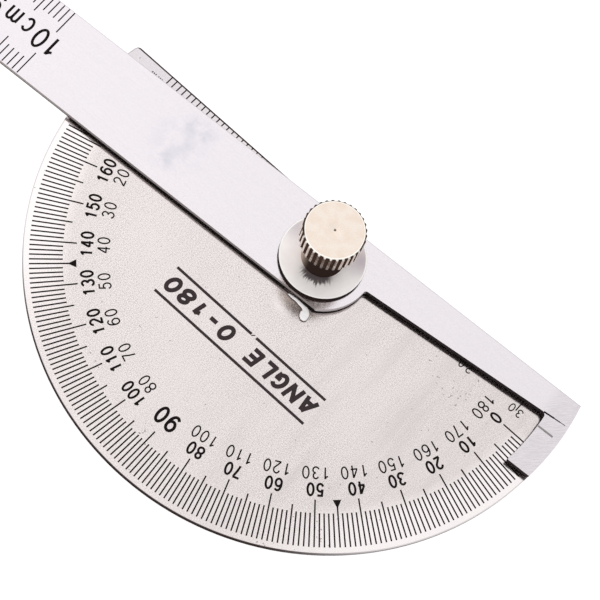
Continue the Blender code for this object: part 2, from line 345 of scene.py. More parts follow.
# The arm's colours.
ARM_DARK_GRAIN = (0.765, 0.720, 0.755)
ARM_LIGHT_GRAIN = (0.810, 0.765, 0.800)
ARM_WIPED = (0.765, 0.730, 0.765)
ARM_LINED = (0.850, 0.810, 0.840)
ARM_SMUDGE = (0.520, 0.530, 0.610)
ARM_SCRATCHED = (0.620, 0.580, 0.610)
ARM_EDGE_PAINTED_SHADE = (0.420, 0.390, 0.400)
ARM_WALL_PAINTED_LIT = (0.330, 0.295, 0.290)
ARM_WALL_PAINTED_SHADOW = (0.020, 0.013, 0.012)
ARM_LOBE_WALL_PAINTED_HIGHLIGHT = (0.620, 0.570, 0.570)
ARM_TAIL_WALL_PAINTED_SHADE = (0.040, 0.030, 0.030)

# Where the blade is smudged, faintly over a wide patch and more in three small ones: place and reach.
WIDEST_SMUDGE = (28.2, 1.3, 6.5)
SMUDGE_PATCHES = (
    (28.4, 4.8, 3.2),
    (28.6, -2.2, 3.0),
    (26.4, -2.6, 3.0),
)


def arm_steel():
    """Bright satin steel, cooler and smoother than the plate, with faint smudges, a painted dark line along
    its far edge and walls in painted light and shade.
    """
    finish = Finish("arm_steel_satin")
    x, _, z = finish.parts()
    _, across, _ = finish.parts(finish.turned(-math.degrees(ARM_ANGLE)))
    grain = finish.noise(5.0, 2.0)
    wipe = finish.noise(1.0, 2.0, finish.stretch((0.05, 0.12, 1.0)))
    lines = finish.noise(1.0, 2.0, finish.stretch((0.25, 3.5, 1.0)))
    tone = finish.mix(finish.span(grain, 0.30, 0.70), ARM_DARK_GRAIN, ARM_LIGHT_GRAIN)
    tone = finish.mix(finish.span(wipe, 0.25, 0.80, 0.0, 0.30), tone, ARM_WIPED)
    tone = finish.mix(finish.span(lines, 0.25, 0.75, 0.0, 0.20), tone, ARM_LINED)

    # Bluish smudges on the blade.
    cover = finish.times(finish.near(*WIDEST_SMUDGE), 0.7)
    cover = finish.most(cover, finish.patches(SMUDGE_PATCHES))
    smudge = finish.times(finish.span(finish.noise(0.42, 4.0), 0.32, 0.66), cover, clamp=True)
    tone = finish.mix(finish.times(smudge, 0.6), tone, ARM_SMUDGE)

    # The pointer, scratched crosswise and duller than the blade.
    scratches = finish.noise(1.0, 2.0, finish.stretch((0.8, 12.0, 1.0), finish.turned(-45.0)))
    pointer = finish.times(finish.span(x, -38.5, -41.5), finish.span(scratches, 0.25, 0.75, 0.15, 0.85))
    tone = finish.mix(pointer, tone, ARM_SCRATCHED)

    # Painted shade as a dark line along the far edge, and walls painted lit above and in shadow below, with
    # a painted highlight at the lobe and painted shade on the tail.
    tone = finish.mix(finish.span(across, -6.84, -6.92, 0.0, 0.5), tone, ARM_EDGE_PAINTED_SHADE)
    wall = finish.mix(finish.span(z, 1.85, 1.65), ARM_WALL_PAINTED_LIT, ARM_WALL_PAINTED_SHADOW)
    wall = finish.mix(finish.span(x, -4.3, -4.8), wall, ARM_LOBE_WALL_PAINTED_HIGHLIGHT)
    wall = finish.mix(finish.span(x, -8.0, -8.5), wall, ARM_TAIL_WALL_PAINTED_SHADE)
    finish.sheet(tone, wall, finish.span(wipe, 0.3, 0.7, 0.12, 0.18))
    finish.bump(grain, 0.05, 0.01 * MM)
    return finish.material


# The washer's colours, and its patches: place and reach.
WASHER_DARK = (0.940, 0.885, 0.875)
WASHER_LIGHT = (1.000, 0.960, 0.940)
WASHER_PAINTED_SHADE = (0.680, 0.620, 0.640)
WASHER_DEEPER_PAINTED_SHADE = (0.580, 0.510, 0.535)
WASHER_RIM_PAINTED_HIGHLIGHT = (0.990, 0.970, 0.950)
WASHER_PAINTED_REFLECTION = (0.058, 0.034, 0.038)
SHADE_PATCH = (6.2, -1.2, 4.2)
DEEPER_SHADE_PATCH = (-4.9, -3.8, 4.6)
NECK_REFLECTION_PATCH = (-1.4, 3.5, 3.6)


def washer_plating():
    """Satin nickel with faint turning rings, two patches of painted shade, a painted highlight inside its
    rim, a rim wall in painted shade and a painted reflection of the nut's neck.
    """
    finish = Finish("washer_nickel")
    radius = finish.radius()
    x, y, _ = finish.parts()
    haze = finish.noise(0.35, 3.0)
    edge = WASHER_HIGH.x / MM
    tone = finish.mix(finish.span(haze, 0.30, 0.70), WASHER_DARK, WASHER_LIGHT)
    # Two patches of painted shade, and a painted highlight just inside the rim.
    tone = finish.mix(finish.near(*SHADE_PATCH), tone, WASHER_PAINTED_SHADE)
    tone = finish.mix(finish.near(*DEEPER_SHADE_PATCH), tone, WASHER_DEEPER_PAINTED_SHADE)
    tone = finish.mix(finish.span(radius, edge - 0.3, edge - 0.2), tone, WASHER_RIM_PAINTED_HIGHLIGHT)

    # A painted reflection of the nut's dark neck lies beside its foot and runs outwards in rays.
    rays = finish.nodes.new("ShaderNodeCombineXYZ")
    around = finish.reckon("ARCTAN2", y, x)
    finish.links.new(finish.times(around, 14.0), rays.inputs[0])
    finish.links.new(finish.times(radius, 0.5), rays.inputs[1])
    streaks = finish.noise(1.0, 3.0, rays.outputs["Vector"], roughness=0.7)
    reach = finish.plus(radius, finish.span(streaks, 0.3, 0.7, 0.60, -0.60))
    neck_reflection = finish.span(reach, 3.6, 5.1, 1.0, 0.0)
    neck_reflection = finish.times(neck_reflection, finish.near(*NECK_REFLECTION_PATCH), clamp=True)
    tone = finish.mix(finish.span(neck_reflection, 0.0, 0.5, 0.0, 0.90), tone, WASHER_PAINTED_REFLECTION)

    # Painted shade darkens the rim's wall and lower edge; the underside further in is not darkened.
    inside = finish.span(radius, edge - 0.04, edge - 0.12)
    level = finish.most(finish.span(finish.rise(), WALL_RISE, LEVEL_RISE), inside)
    finish.drive("Base Color", finish.mix(level, PAINTED_WALL_SHADE, tone))
    finish.drive("Metallic", finish.times(level, 0.35))
    finish.drive("Roughness", finish.span(haze, 0.3, 0.7, 0.42, 0.50))
    finish.set(Specular_IOR_Level=0.0)
    finish.bump(finish.turning(radius, 34.0), 0.03, 0.004 * MM)
    return finish.material


# The nut's colours, and the place and reach of its patch of painted shade.
KNOB_WARM = (0.820, 0.700, 0.605)
KNOB_PALE = (0.870, 0.775, 0.695)
KNOB_TURNED = (0.700, 0.620, 0.540)
KNOB_RING_PAINTED_HIGHLIGHT = (0.980, 0.930, 0.870)
KNOB_RIM_PAINTED_SHADE = (0.045, 0.030, 0.024)
KNOB_DOT = (0.200, 0.160, 0.120)
KNOB_UNDERSIDE = (0.960, 0.920, 0.880)
TARNISH_DARK = (0.040, 0.022, 0.017)
TARNISH_LIGHT = (0.110, 0.066, 0.048)
NECK_TARNISH_AND_SHADE = (0.036, 0.022, 0.018)
NECK_PAINTED_HIGHLIGHT = (0.550, 0.440, 0.360)
RIDGE = (0.860, 0.760, 0.680)
RIDGE_PAINTED_SHADE = (0.130, 0.085, 0.065)
RIDGE_SHADE_PATCH = (-1.8, 4.4, 3.6)


def knob_plating():
    """Nickel over brass: a warm turned face, light ridges, brown tarnish in the grooves and on the neck,
    and painted highlights and shade on the face's rim, the ridges and the neck.
    """
    finish = Finish("knob_nickel_brass")
    radius = finish.radius()
    x, y, _ = finish.parts()
    rings = finish.turning(radius, 26.0)
    haze = finish.noise(0.7, 4.0)
    fine = finish.noise(4.0, 3.0)

    # The top face, with a painted highlight inside its rim, painted shade on the rim on one side and a
    # centre dot, and the light underside of the head.
    face = finish.mix(finish.span(haze, 0.3, 0.7), KNOB_WARM, KNOB_PALE)
    face = finish.mix(finish.span(rings, -1.0, 1.0, 0.0, 0.10), face, KNOB_TURNED)
    face = finish.mix(finish.span(radius, 4.36, 4.44), face, KNOB_RING_PAINTED_HIGHLIGHT)
    toward = finish.minus(finish.times(y, 0.87), finish.times(x, 0.5))
    rim_shade = finish.times(finish.span(radius, 4.50, 4.55), finish.span(toward, 2.6, 1.2))
    face = finish.mix(rim_shade, face, KNOB_RIM_PAINTED_SHADE)
    face = finish.mix(finish.span(radius, 0.22, 0.12), face, KNOB_DOT)
    face = finish.mix(finish.span(finish.rise(), -0.5, -0.8), face, KNOB_UNDERSIDE)

    # The side: tarnish in the grooves, plating on the ridges with painted shade in one place, and the neck,
    # dark with tarnish and painted shade and with a painted highlight towards +X.
    stain = finish.mix(finish.span(fine, 0.3, 0.7), TARNISH_DARK, TARNISH_LIGHT)
    neck = finish.mix(finish.span(x, 0.3, 3.0), NECK_TARNISH_AND_SHADE, NECK_PAINTED_HIGHLIGHT)
    patchy = finish.span(fine, 0.3, 0.6, 0.6, 1.8)
    ridge_shade = finish.times(finish.near(*RIDGE_SHADE_PATCH), patchy, clamp=True)
    ridge = finish.mix(ridge_shade, RIDGE, RIDGE_PAINTED_SHADE)
    outermost = finish.span(radius, 4.72, 4.80)
    side = finish.mix(finish.span(radius, 3.9, 3.6), stain, neck)
    side = finish.mix(outermost, side, ridge)

    level = finish.upward()
    finish.drive("Base Color", finish.mix(level, side, face))
    finish.drive("Metallic", finish.most(level, outermost))
    finish.drive("Roughness", finish.span(haze, 0.3, 0.7, 0.20, 0.32))
    finish.set(Specular_IOR_Level=0.0)
    finish.bump(rings, 0.05, 0.004 * MM)
    return finish.material


# The stud's colours.
STUD_DARK = (0.46, 0.44, 0.43)
STUD_LIGHT = (0.58, 0.56, 0.55)


def stud_steel():
    """Plain turned steel of the stud."""
    finish = Finish("stud_steel_turned")
    haze = finish.noise(0.9, 3.0)
    tone = finish.mix(finish.span(haze, 0.3, 0.7), STUD_DARK, STUD_LIGHT)
    finish.drive("Base Color", tone)
    finish.drive("Roughness", finish.span(haze, 0.3, 0.7, 0.28, 0.40))
    finish.set(Metallic=1.0)
    finish.bump(finish.turning(finish.radius(), 18.0), 0.06, 0.006 * MM)
    return finish.material


# The shim's colours.
NYLON_DARK = (0.92, 0.90, 0.91)
NYLON_LIGHT = (0.99, 0.97, 0.97)
NYLON_PAINTED_SHADE = (0.22, 0.17, 0.15)


def shim_nylon():
    """White nylon sheet with painted shade on its sides and underside."""
    finish = Finish("shim_nylon_white")
    haze = finish.noise(0.8, 3.0)
    tone = finish.mix(finish.span(haze, 0.3, 0.7), NYLON_DARK, NYLON_LIGHT)
    facing_up = finish.span(finish.rise(), 0.0, 0.45)
    finish.drive("Base Color", finish.mix(facing_up, NYLON_PAINTED_SHADE, tone))
    finish.drive("Roughness", finish.span(haze, 0.3, 0.7, 0.35, 0.50))
    finish.set(Metallic=0.0)
    finish.bump(haze, 0.08, 0.02 * MM)
    return finish.material


# Dark and light ends of each ink.
BLACK_INK = ((0.006, 0.003, 0.003), (0.022, 0.014, 0.014))
PALE_INK = ((0.27, 0.25, 0.25), (0.38, 0.36, 0.36))
TITLE_INK = ((0.040, 0.029, 0.030), (0.065, 0.050, 0.052))


def ink(name, colours):
    """Etched and filled mark: nearly even, a little faded."""
    finish = Finish(name)
    dark, light = colours
    fading = finish.noise(3.0, 4.0, roughness=0.7)
    finish.drive("Base Color", finish.mix(finish.span(fading, 0.50, 0.75), dark, light))
    finish.drive("Roughness", finish.span(fading, 0.3, 0.7, 0.45, 0.60))
    finish.set(Metallic=0.0, Specular_IOR_Level=0.08)
    return finish.material


# ---------------------------------------------------------------------------
# Strokes: every mark is a flat ribbon of ink along a line of points
# ---------------------------------------------------------------------------

# Ink stands this far proud of the steel, and reaches a little into it.
INK_RISE = 0.012 * MM
INK_ROOT = 0.006 * MM

# Ribbons take slightly different heights in turn, so that two that cross share no face.
INK_STEP = 0.0006 * MM
INK_HEIGHTS = 8

# A ribbon whose ends are closer than this part of its width is closed.
CLOSED_GAP = 0.01

# Cosines of half a bend: the sharpest that is mitred in full, and one too slight to matter.
SHARPEST_BEND = 0.45
SLIGHTEST_BEND = 0.9999

# The inner side of a bend keeps within this part of the shorter step beside it.
INNER_REACH = 0.49

# An "m" is this much wider than the other letters.
WIDE_LETTER = 1.35


def bow(cx, cy, rx, ry, start, end, count=10):
    """Points along an ellipse, angles in degrees."""
    points = []
    for i in range(count + 1):
        angle = math.radians(start + (end - start) * i / count)
        points.append((cx + rx * math.cos(angle), cy + ry * math.sin(angle)))
    return points


def glyphs():
    """Centre lines of each character in a box one unit high and one wide."""
    six = [
        bow(0.50, 0.32, 0.50, 0.32, 180, 540, 18),
        bow(0.56, 0.50, 0.56, 0.50, 48, 180, 10) + [(0.0, 0.32)],
    ]
    arch = [(0.0, 0.62)] + bow(0.25, 0.72, 0.25, 0.28, 160, 0, 6) + [(0.5, 0.0)]
    return {
        "0": [bow(0.5, 0.5, 0.5, 0.5, 90, 450, 22)],
        "1": [[(0.56, 1.0), (0.56, 0.0)], [(0.10, 0.75), (0.32, 0.80), (0.50, 0.93)]],
        "2": [bow(0.5, 0.70, 0.48, 0.30, 170, -25, 12) + [(0.04, 0.04)], [(-0.06, 0.0), (1.02, 0.0)]],
        "3": [
            bow(0.47, 0.755, 0.43, 0.245, 160, -90, 11),
            bow(0.47, 0.255, 0.50, 0.255, 90, -165, 12),
        ],
        "4": [[(0.76, -0.06), (0.76, 1.02)], [(0.70, 0.98), (0.03, 0.30)], [(-0.06, 0.27), (1.05, 0.27)]],
        "5": [[(0.95, 1.0), (0.20, 1.0), (0.10, 0.46)], bow(0.48, 0.33, 0.50, 0.33, 138, -160, 13)],
        "6": six,
        "7": [[(-0.06, 1.0), (1.06, 1.0)], [(0.97, 0.97), (0.62, 0.46), (0.40, -0.06)]],
        "8": [bow(0.5, 0.76, 0.43, 0.24, 90, 450, 16), bow(0.5, 0.26, 0.50, 0.26, 90, 450, 18)],
        "9": [[(1 - x, 1 - y) for x, y in stroke] for stroke in six],
        "c": [bow(0.5, 0.5, 0.5, 0.5, 36, 324, 15)],
        "m": [[(0.0, 0.0), (0.0, 1.0)], arch, [(x + 0.5, y) for x, y in arch]],
        "-": [[(0.1, 0.45), (0.9, 0.45)]],
        "A": [[(-0.06, -0.1), (0.46, 1.05)], [(1.06, -0.1), (0.54, 1.05)], [(0.18, 0.28), (0.82, 0.28)]],
        "N": [[(0.0, -0.12), (0.0, 1.12)], [(1.0, -0.12), (1.0, 1.12)], [(0.02, 0.98), (0.98, 0.02)]],
        "G": [
            bow(0.5, 0.5, 0.5, 0.5, 42, 320, 16),
            [(0.52, 0.42), (1.15, 0.42)],
            [(0.96, 0.45), (0.96, -0.02)],
        ],
        "L": [[(0.0, 1.12), (0.0, -0.1)], [(-0.15, 0.0), (0.95, 0.0)]],
        "E": [
            [(0.0, 1.12), (0.0, -0.12)],
            [(-0.1, 0.0), (1.0, 0.0)],
            [(-0.1, 1.0), (1.0, 1.0)],
            [(-0.1, 0.51), (0.9, 0.51)],
        ],
    }


GLYPHS = glyphs()


class Lettering:
    """Sizes of one kind of letters, given in millimetres, with slant and x-height as ratios."""

    def __init__(self, height, width, pitch, stroke, slant=0.0, x_height=1.0):
        self.height = height * MM
        self.width = width * MM
        self.pitch = pitch * MM
        self.stroke = stroke * MM
        self.slant = slant
        self.x_height = x_height


class Marks:
    """A set of ink ribbons on one level surface."""

    def __init__(self, name, surface):
        self.name = name
        self.surface = surface
        self.shape = bmesh.new()
        self.lift = INK_RISE

    def line(self, points, width):
        """Lay a ribbon along points, square at its ends and mitred at its corners."""
        self.lift = INK_RISE + (self.lift - INK_RISE + INK_STEP) % (INK_HEIGHTS * INK_STEP)
        points = [Vector(p) for p in points]
        closed = (points[0] - points[-1]).length < width * CLOSED_GAP
        if closed:
            points.pop()
        rings = []
        for i, point in enumerate(points):
            before = points[i - 1] if closed or i else None
            after = points[(i + 1) % len(points)] if closed or i + 1 < len(points) else None
            rings.append(self.ring(before, point, after, width / 2.0))
        spans = list(zip(rings, rings[1:]))
        if closed:
            spans.append((rings[-1], rings[0]))
        for first, second in spans:
            for k in range(4):
                corner = (k + 1) % 4
                self.shape.faces.new((first[k], second[k], second[corner], first[corner]))
        if not closed:
            self.shape.faces.new(reversed(rings[0]))
            self.shape.faces.new(rings[-1])

    def ring(self, before, point, after, half):
        """Four corners of the ribbon's section at a point."""
        steps = [far - near for near, far in ((before, point), (point, after)) if near and far]
        headings = [step.normalized() for step in steps]
        heading = sum(headings, Vector((0.0, 0.0))).normalized()
        side = Vector((-heading.y, heading.x))
        lean = max(SHARPEST_BEND, heading.dot(headings[0]))
        reach = half / lean
        inside = reach
        if len(steps) == 2 and lean < SLIGHTEST_BEND:
            bend = math.tan(math.acos(lean))
            inside = min(half, INNER_REACH * min(step.length for step in steps) / bend) / lean
        turns_left = len(steps) == 2 and headings[0].cross(headings[1]) > 0.0
        left = point + side * (inside if turns_left else reach)
        right = point - side * (reach if turns_left else inside)
        low, high = self.surface - INK_ROOT, self.surface + self.lift
        corners = ((left, low), (left, high), (right, high), (right, low))
        return [self.shape.verts.new((p.x, p.y, z)) for p, z in corners]

    def polygon(self, points):
        """A filled area of ink."""
        low = [self.shape.verts.new((x, y, self.surface - INK_ROOT)) for x, y in points]
        high = [self.shape.verts.new((x, y, self.surface + INK_RISE)) for x, y in points]
        self.shape.faces.new(high)
        self.shape.faces.new(list(reversed(low)))
        for i in range(len(points)):
            j = (i + 1) % len(points)
            self.shape.faces.new((low[i], low[j], high[j], high[i]))

    def write(self, text, centre, right, kind):
        """Write characters of one kind centred on a point, reading along a direction."""
        right = Vector(right).normalized()
        up = Vector((-right.y, right.x))
        start = -kind.pitch * (len(text) - 1) / 2.0
        for i, letter in enumerate(text):
            tall = kind.height * (kind.x_height if letter.islower() else 1.0)
            wide = kind.width * (WIDE_LETTER if letter == "m" else 1.0)
            for path in GLYPHS.get(letter, []):
                points = []
                for x, y in path:
                    rise = kind.stroke / 2.0 + y * (tall - kind.stroke) - kind.height / 2.0
                    run = (x - 0.5) * (wide - kind.stroke) + start + kind.pitch * i + kind.slant * rise
                    points.append(Vector(centre) + right * run + up * rise)
                self.line(points, kind.stroke)

    def finish(self, body, material, slot):
        """Make the object and put it on its body."""
        bmesh.ops.recalc_face_normals(self.shape, faces=self.shape.faces)
        mesh = bpy.data.meshes.new(self.name)
        self.shape.to_mesh(mesh)
        self.shape.free()
        mesh.materials.append(material)
        piece = bpy.data.objects.new(self.name, mesh)
        bpy.context.scene.collection.objects.link(piece)
        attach(piece, body)


def polar(radius, degrees):
    """A point at a distance from the pivot and an angle from +X."""
    angle = math.radians(degrees)
    return Vector((radius * math.cos(angle), radius * math.sin(angle)))


def grade(value):
    """Which length of mark a value takes: that of a unit, of a five or of a ten."""
    if value % 10 == 0:
        return 10
    return 5 if value % 5 == 0 else 1


# ---------------------------------------------------------------------------
# Marks on the head plate
# ---------------------------------------------------------------------------

TICK_OUTER = 44.0 * MM
TICK_INNER = {1: 39.0 * MM, 5: 38.0 * MM, 10: 37.0 * MM}
TICK_WIDTH = 0.225 * MM

TRIANGLE_BASE = 37.0 * MM
TRIANGLE_APEX = 38.3 * MM
TRIANGLE_SPREAD = 1.0

OUTER_NUMBER_RADIUS = 35.5 * MM
INNER_NUMBER_RADIUS = 33.0 * MM
MIDDLE_NUMBER_RADIUS = 34.4 * MM
OUTER_NUMBERS = Lettering(2.1, 1.22, 1.42, 0.34)
INNER_NUMBERS = Lettering(1.98, 1.12, 1.46, 0.225)
MIDDLE_NUMBER = Lettering(2.9, 1.7, 2.05, 0.46)

TITLE_LETTERS = Lettering(2.92, 2.3, 2.7, 0.68, slant=0.2)

# The edge scale, whose two zeros stand this many millimetres to either side of the pivot.
EDGE_ZERO = 7
EDGE_LENGTHS = {1: 2.0 * MM, 5: 2.7 * MM, 10: 3.85 * MM}
EDGE_INSET = 0.1 * MM
EDGE_TICK_WIDTH = 0.20 * MM
EDGE_NUMBER_PLACE = -2.98 * MM
EDGE_NUMBERS = Lettering(1.46, 0.92, 1.46, 0.18)
EDGE_UNIT_PLACE = (38.85 * MM, -4.62 * MM)
EDGE_UNIT = Lettering(1.5, 0.66, 1.28, 0.18, x_height=0.72)


def degree_ring(black):
    """Marks from 0 to 180 with a small triangle at 45 and 135."""
    marks = Marks("degree_marks", PLATE_TOP)
    for degree in range(181):
        inner = TICK_INNER[grade(degree)]
        marks.line([polar(TICK_OUTER, degree), polar(inner, degree)], TICK_WIDTH)
    for degree in (45, 135):
        apex = polar(TRIANGLE_APEX, degree)
        left = polar(TRIANGLE_BASE, degree + TRIANGLE_SPREAD)
        right = polar(TRIANGLE_BASE, degree - TRIANGLE_SPREAD)
        marks.polygon([tuple(corner) for corner in (apex, left, right)])
    marks.finish("head", black, "plate_steel")


def degree_numbers(black):
    """Bold outer numbers from the left, thin inner numbers from the right, and one 90 between them."""
    bold = Marks("degree_numbers_outer", PLATE_TOP)
    thin = Marks("degree_numbers_inner", PLATE_TOP)
    for value in range(0, 181, 10):
        angle = 180 - value
        reading = polar(1.0, angle - 90)
        if value == 90:
            bold.write("90", polar(MIDDLE_NUMBER_RADIUS, angle), reading, MIDDLE_NUMBER)
            continue
        bold.write(str(value), polar(OUTER_NUMBER_RADIUS, angle), reading, OUTER_NUMBERS)
        thin.write(str(180 - value), polar(INNER_NUMBER_RADIUS, angle), reading, INNER_NUMBERS)
    bold.finish("head", black, "plate_steel")
    thin.finish("head", black, "plate_steel")


def title(grey):
    """Slanted bold letters between two bars, the lower of which is nicked."""
    marks = Marks("title_marks", PLATE_TOP)
    half_length = 15.0 * MM
    top, bottom = 21.0 * MM, 16.0 * MM
    bar, scratch = 0.44 * MM, 0.16 * MM
    nick_left, nick_right = -1.05 * MM, -0.15 * MM
    scratch_foot = (nick_left + 0.35 * MM, bottom - bar / 2)
    scratch_head = (nick_right - 0.1 * MM, bottom + bar / 2)
    marks.line([(-half_length, top), (half_length, top)], bar)
    marks.line([(-half_length, bottom), (nick_left, bottom)], bar)
    marks.line([(nick_right, bottom), (half_length, bottom)], bar)
    marks.line([scratch_foot, scratch_head], scratch)
    marks.write("ANGLE 0-180", (0.0, (top + bottom) / 2), (1, 0), TITLE_LETTERS)
    marks.finish("head", grey, "plate_steel")


def edge_scale(black):
    """Millimetre marks along the straight edge, counted outwards on both sides."""
    marks = Marks("edge_marks", PLATE_TOP)
    start = PLATE_EDGE + EDGE_INSET
    for side in (-1, 1):
        for value in range(31):
            x = side * (EDGE_ZERO + value) * MM
            marks.line([(x, start), (x, PLATE_EDGE + EDGE_LENGTHS[grade(value)])], EDGE_TICK_WIDTH)
            if value % 10 == 0:
                marks.write(str(value), (x, EDGE_NUMBER_PLACE), (1, 0), EDGE_NUMBERS)
    marks.write("mm", EDGE_UNIT_PLACE, (1, 0), EDGE_UNIT)
    marks.finish("head", black, "plate_steel")


# ---------------------------------------------------------------------------
# Marks on the arm
# ---------------------------------------------------------------------------

BLADE_LENGTHS = {1: 3.0 * MM, 5: 4.0 * MM, 10: 4.6 * MM}
BLADE_INSET = 0.12 * MM
BLADE_TICK_WIDTH = 0.20 * MM
BLADE_NUMBERS = Lettering(3.8, 2.05, 2.35, 0.45)
BLADE_UNIT_FROM_TIP = 94.6 * MM
BLADE_UNIT = Lettering(3.8, 1.75, 2.75, 0.42, x_height=0.72)

# The etched end of the tail's edge, which thins out: two places along and across the blade, and a width.
POINTER_EDGE = (
    ((-40.5, -2.60), (-42.3, -2.76), 0.26),
    ((-42.2, -2.75), (-43.4, -2.84), 0.17),
    ((-43.3, -2.83), (-44.3, -2.91), 0.10),
)
POINTER_INDEX = ((-41.05, -0.20), (-43.8, -0.22))
POINTER_INDEX_WIDTH = 0.32 * MM


def on_arm(u, v):
    """A point on the arm from its place along and across the blade."""
    return ALONG * u + ACROSS * v


def blade_scale(black):
    """Ten centimetres from the tip along both edges, with numbers down the middle."""
    marks = Marks("blade_marks", ARM_TOP)
    for value in range(1, 101):
        u = BLADE_TIP - value * MM
        for side in (-1, 1):
            start = side * (HALF_BLADE - BLADE_INSET)
            end = side * (HALF_BLADE - BLADE_LENGTHS[grade(value)])
            marks.line([on_arm(u, start), on_arm(u, end)], BLADE_TICK_WIDTH)
    for value in range(1, 11):
        u = BLADE_TIP - value * 10 * MM
        marks.write(str(value), on_arm(u, 0.0), ALONG, BLADE_NUMBERS)
    marks.write("cm", on_arm(BLADE_TIP - BLADE_UNIT_FROM_TIP, 0.0), ALONG, BLADE_UNIT)
    marks.finish("arm", black, "arm_steel")


def pointer_marks(black, grey):
    """The index line and the etched end of the tail's edge on the pointer."""
    edge = Marks("pointer_edge_mark", ARM_TOP)
    for *ends, width in POINTER_EDGE:
        edge.line([on_arm(u * MM, v * MM) for u, v in ends], width * MM)
    edge.finish("arm", black, "arm_steel")
    index = Marks("pointer_index_mark", ARM_TOP)
    index.line([on_arm(u * MM, v * MM) for u, v in POINTER_INDEX], POINTER_INDEX_WIDTH)
    index.finish("arm", grey, "arm_steel")


# ---------------------------------------------------------------------------
# Turned and knurled hardware
# ---------------------------------------------------------------------------

# Faces that meet at more than this angle keep a sharp edge between them.
SHARP_ANGLE = math.radians(38)

WASHER_STEPS = 160
SHIM_STEPS = 96
SHIM_RADIUS = 6.6 * MM

KNURL_COUNT = 32
KNURL_DEPTH = 0.24 * MM
KNURL_STEPS = 16

# From a groove's middle, in half pitches: where the ridge starts, and how wide its flank is.
RIDGE_START = 0.66
RIDGE_FLANK = 0.20

# The tongue: places along and across the blade in millimetres, and the strip's spread at each.
TONGUE_ROUTE = (
    (0.55, 7.40, 0.25),
    (-0.2, 7.42, 0.45),
    (-1.0, 7.40, 0.48),
    (-1.7, 7.50, 0.62),
    (-2.4, 7.60, 0.66),
    (-2.95, 7.80, 1.05),
    (-3.22, 8.20, 1.55),
    (-3.40, 8.75, 1.50),
    (-3.50, 9.15, 1.25),
    (-3.52, 9.42, 0.60),
)

# Half the strip's width at a spread of one, and the spread at which it is as thick as the shim.
TONGUE_HALF_WIDTH = 0.5 * MM
TONGUE_FULL_SPREAD = 1.22


def lathe(name, profile, steps, radius_at=None):
    """Turn (radius, height) rings about the pivot axis into a closed mesh."""
    shape = bmesh.new()
    rings = []
    for radius, height in profile:
        if radius == 0.0:
            rings.append([shape.verts.new((0.0, 0.0, height))])
            continue
        ring = []
        for i in range(steps):
            angle = math.tau * i / steps
            reach = radius_at(radius, height, angle) if radius_at else radius
            ring.append(shape.verts.new((reach * math.cos(angle), reach * math.sin(angle), height)))
        rings.append(ring)
    bands = list(zip(rings, rings[1:]))
    if len(rings[0]) > 1 and len(rings[-1]) > 1:
        bands.append((rings[-1], rings[0]))
    for first, second in bands:
        for i in range(steps):
            j = (i + 1) % steps
            if len(first) == 1:
                shape.faces.new((first[0], second[i], second[j]))
            elif len(second) == 1:
                shape.faces.new((first[i], second[0], first[j]))
            else:
                shape.faces.new((first[i], second[i], second[j], first[j]))
    bmesh.ops.recalc_face_normals(shape, faces=shape.faces)
    mesh = bpy.data.meshes.new(name)
    shape.to_mesh(mesh)
    shape.free()
    mesh.shade_smooth()
    mesh.set_sharp_from_angle(angle=SHARP_ANGLE)
    piece = bpy.data.objects.new(name, mesh)
    bpy.context.scene.collection.objects.link(piece)
    return piece


def round_edge(cx, cz, radius, start, end, count=5):
    """Part of a small circle on a profile, angles in degrees from +X towards +Z."""
    return bow(cx, cz, radius, radius, start, end, count)


def polished_washer(material):
    """Washer with rounded rims, in the place of the plain one."""
    outer = WASHER_HIGH.x
    low, high = WASHER_LOW.z, WASHER_HIGH.z
    soft = 0.07 * MM
    small = 0.1 * MM
    profile = round_edge(BORE + small, high - small, small, 180, 90, 4)
    profile += [(outer * 0.45, high), (outer * 0.7, high)]
    profile += round_edge(outer - soft, high - soft, soft, 90, 0)
    profile += round_edge(outer - soft, low + soft, soft, 0, -90)
    profile += round_edge(BORE + small, low + small, small, -90, -180, 4)
    washer = lathe("flat_washer_polished", profile, WASHER_STEPS)
    washer.data.materials.append(material)
    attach(washer, "washer")
    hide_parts("flat_washer")


